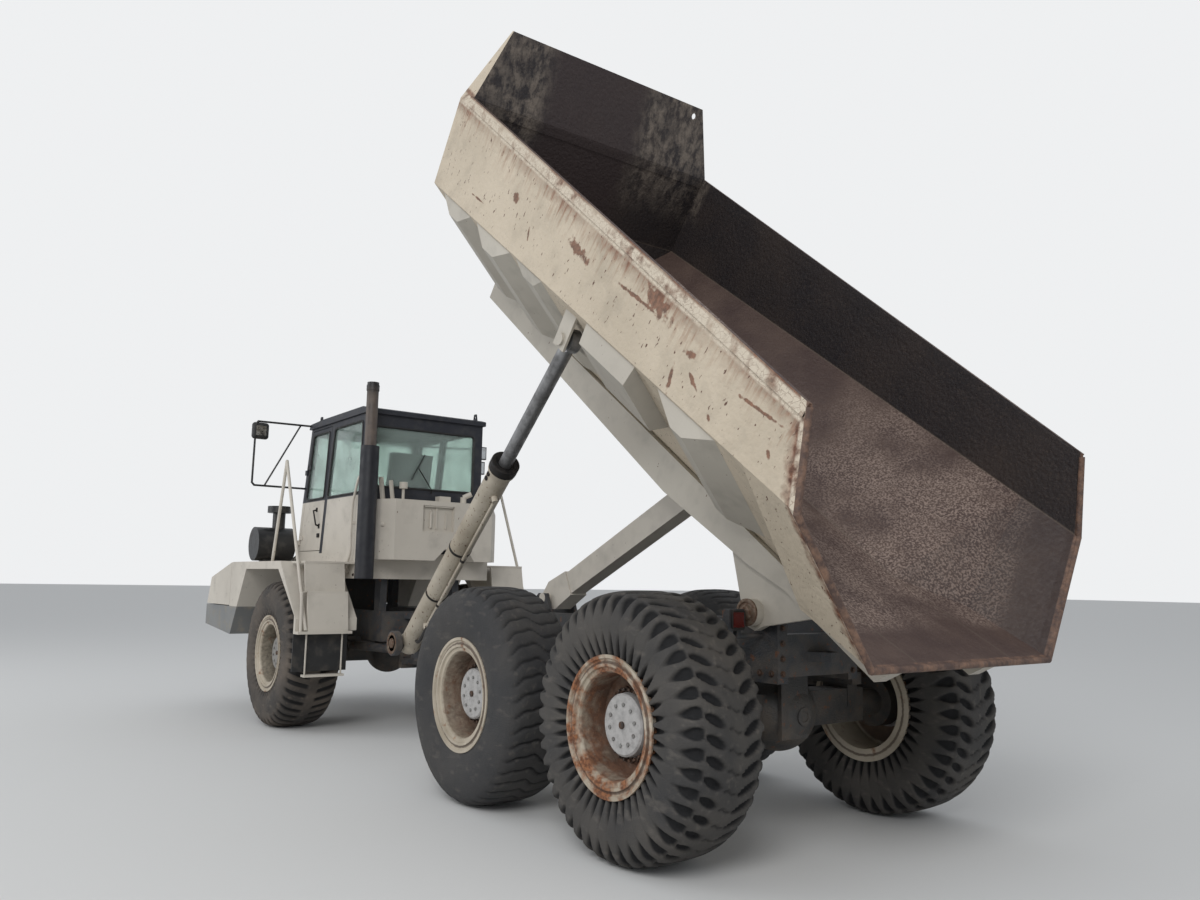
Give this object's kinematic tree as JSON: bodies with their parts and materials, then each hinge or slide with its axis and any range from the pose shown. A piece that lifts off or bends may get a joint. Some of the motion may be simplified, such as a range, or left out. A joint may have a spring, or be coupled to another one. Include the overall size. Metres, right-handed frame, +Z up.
{
  "type": "articulated dump truck",
  "caption": "Six-wheeled articulated hauler with its dump body raised on a hoist cylinder, a pivoting front unit with cab, hood, steps and handrails, and a tandem rear axle.",
  "frame": {"origin": "on the ground, under the middle of the truck's length and width", "axes": "+X points to the truck's rear, +Y to its right side, +Z up"},
  "size_m": [10.0944, 2.9773, 6.1462],
  "materials": {
    "body_paint": "worn off-white paint with rust",
    "cab_paint": "dark blue-black paint, dulled",
    "chassis_paint": "dark grey paint with mud",
    "bumper_paint": "mid grey paint",
    "rim_paint": "cream paint with rust",
    "tyre_rubber": "worn tread",
    "flap_rubber": "matte",
    "window_glass": "slightly green tint",
    "red_lens": "red lens",
    "clear_lens": "clear lens",
    "seat_cloth": "dark cloth",
    "black_plastic": "matte black",
    "rod_steel": "dull plated rod",
    "iron": "oily cast iron",
    "exhaust_steel": "heat browned steel"
  },
  "bodies": {
    "rear_unit": {"rear_frame": "chassis_paint", "rear_axles": "chassis_paint", "bogie_beams": "chassis_paint", "rear_lamps": "red_lens", "tow_tongue": "chassis_paint"},
    "hitch": {"hitch_block": "chassis_paint"},
    "front_unit": {"front_frame": "chassis_paint", "front_axle": "chassis_paint", "engine_block": "iron", "cab_base": "body_paint", "cab_shell": "cab_paint", "cab_roof": "cab_paint", "cab_glass": "window_glass", "operator_seat": "seat_cloth", "steering_wheel": "black_plastic", "bumper": "bumper_paint", "fenders": "body_paint", "steps": "body_paint", "mudflaps": "flap_rubber", "handrails": "body_paint", "air_cleaner": "black_plastic", "exhaust": "exhaust_steel", "hydraulic_tank": "body_paint", "mirrors": "black_plastic", "front_lamps": "clear_lens"},
    "hood": {"hood": "body_paint"},
    "door": {"cab_door": "cab_paint", "door_glass": "window_glass"},
    "dump": {"dump_body": "body_paint", "body_beams": "body_paint"},
    "prop": {"body_prop": "body_paint"},
    "hoist_barrel": {"hoist_barrel": "body_paint"},
    "hoist_rod": {"hoist_rod": "rod_steel"},
    "steer_barrel_left": {"steer_barrel_left": "chassis_paint"},
    "steer_rod_left": {"steer_rod_left": "rod_steel"},
    "steer_barrel_right": {"steer_barrel_right": "chassis_paint"},
    "steer_rod_right": {"steer_rod_right": "rod_steel"},
    "wheel_front_left": {"rim_front_left": "rim_paint", "tyre_front_left": "tyre_rubber"},
    "wheel_front_right": {"rim_front_right": "rim_paint", "tyre_front_right": "tyre_rubber"},
    "wheel_mid_left": {"rim_mid_left": "rim_paint", "tyre_mid_left": "tyre_rubber"},
    "wheel_mid_right": {"rim_mid_right": "rim_paint", "tyre_mid_right": "tyre_rubber"},
    "wheel_rear_left": {"rim_rear_left": "rim_paint", "tyre_rear_left": "tyre_rubber"},
    "wheel_rear_right": {"rim_rear_right": "rim_paint", "tyre_rear_right": "tyre_rubber"}
  },
  "joints": [
    {"name": "hitch_roll", "type": "hinge", "parent": "rear_unit", "child": "hitch", "pos_m": [-1.113, 0, 0.96], "axis": [1, 0, 0], "range_deg": [-12, 12]},
    {"name": "steer", "type": "hinge", "parent": "hitch", "child": "front_unit", "pos_m": [-1.463, 0, 0.96], "axis": [0, 0, 1], "range_deg": [-45, 45]},
    {"name": "hood_open", "type": "hinge", "parent": "front_unit", "child": "hood", "pos_m": [-5.028, 0, 1.24], "axis": [0, -1, 0], "range_deg": [0, 70]},
    {"name": "door_open", "type": "hinge", "parent": "front_unit", "child": "door", "pos_m": [-3.531, -0.792, 1.91], "axis": [-0.1821, 0, -0.9833], "range_deg": [0, 75]},
    {"name": "body_tip", "type": "hinge", "parent": "rear_unit", "child": "dump", "pos_m": [3.811, 0, 1.434], "axis": [0, 1, 0], "range_deg": [-37, 28]},
    {"name": "prop_swing", "type": "hinge", "parent": "rear_unit", "child": "prop", "pos_m": [0.936, 0, 1.457], "axis": [0, -1, 0], "range_deg": [-25, 19]},
    {"name": "hoist_swing", "type": "hinge", "parent": "rear_unit", "child": "hoist_barrel", "pos_m": [-0.653, -0.64, 0.985], "axis": [-0.2628, -0.9491, 0.1738], "range_deg": [-10, 8]},
    {"name": "hoist_extend", "type": "slide", "parent": "hoist_barrel", "child": "hoist_rod", "axis": [0.8261, -0.1283, 0.5488], "range_m": [-1.2, 0.92]},
    {"name": "steer_barrel_swing_left", "type": "hinge", "parent": "front_unit", "child": "steer_barrel_left", "pos_m": [-2.313, -0.56, 0.86], "axis": [0, 0, 1], "range_deg": [-12, 12]},
    {"name": "steer_extend_left", "type": "slide", "parent": "steer_barrel_left", "child": "steer_rod_left", "axis": [0.9754, 0.2205, 0], "range_m": [-0.3, 0.3]},
    {"name": "steer_barrel_swing_right", "type": "hinge", "parent": "front_unit", "child": "steer_barrel_right", "pos_m": [-2.313, 0.56, 0.86], "axis": [0, 0, 1], "range_deg": [-12, 12]},
    {"name": "steer_extend_right", "type": "slide", "parent": "steer_barrel_right", "child": "steer_rod_right", "axis": [0.9754, -0.2205, 0], "range_m": [-0.3, 0.3]},
    {"name": "spin_front_left", "type": "hinge", "parent": "front_unit", "child": "wheel_front_left", "pos_m": [-2.549, -1.142, 0.78], "axis": [0, 1, 0], "continuous": true},
    {"name": "spin_front_right", "type": "hinge", "parent": "front_unit", "child": "wheel_front_right", "pos_m": [-2.549, 1.142, 0.78], "axis": [0, 1, 0], "continuous": true},
    {"name": "spin_mid_left", "type": "hinge", "parent": "rear_unit", "child": "wheel_mid_left", "pos_m": [1.787, -1.142, 0.78], "axis": [0, 1, 0], "continuous": true},
    {"name": "spin_mid_right", "type": "hinge", "parent": "rear_unit", "child": "wheel_mid_right", "pos_m": [1.787, 1.142, 0.78], "axis": [0, 1, 0], "continuous": true},
    {"name": "spin_rear_left", "type": "hinge", "parent": "rear_unit", "child": "wheel_rear_left", "pos_m": [3.569, -1.142, 0.78], "axis": [0, 1, 0], "continuous": true},
    {"name": "spin_rear_right", "type": "hinge", "parent": "rear_unit", "child": "wheel_rear_right", "pos_m": [3.569, 1.142, 0.78], "axis": [0, 1, 0], "continuous": true}
  ],
  "couplings": [
    {"joint": "prop_swing", "follows": "body_tip", "ratio": 0.654},
    {"joint": "hoist_swing", "follows": "body_tip", "ratio": 0.22309},
    {"joint": "hoist_extend", "follows": "body_tip", "m_per_rad": 1.8237},
    {"joint": "steer_barrel_swing_right", "follows": "steer", "ratio": -0.19726},
    {"joint": "steer_barrel_swing_left", "follows": "steer", "ratio": -0.19726},
    {"joint": "steer_extend_right", "follows": "steer", "m_per_rad": 0.34397},
    {"joint": "steer_extend_left", "follows": "steer", "m_per_rad": -0.34397}
  ]
}
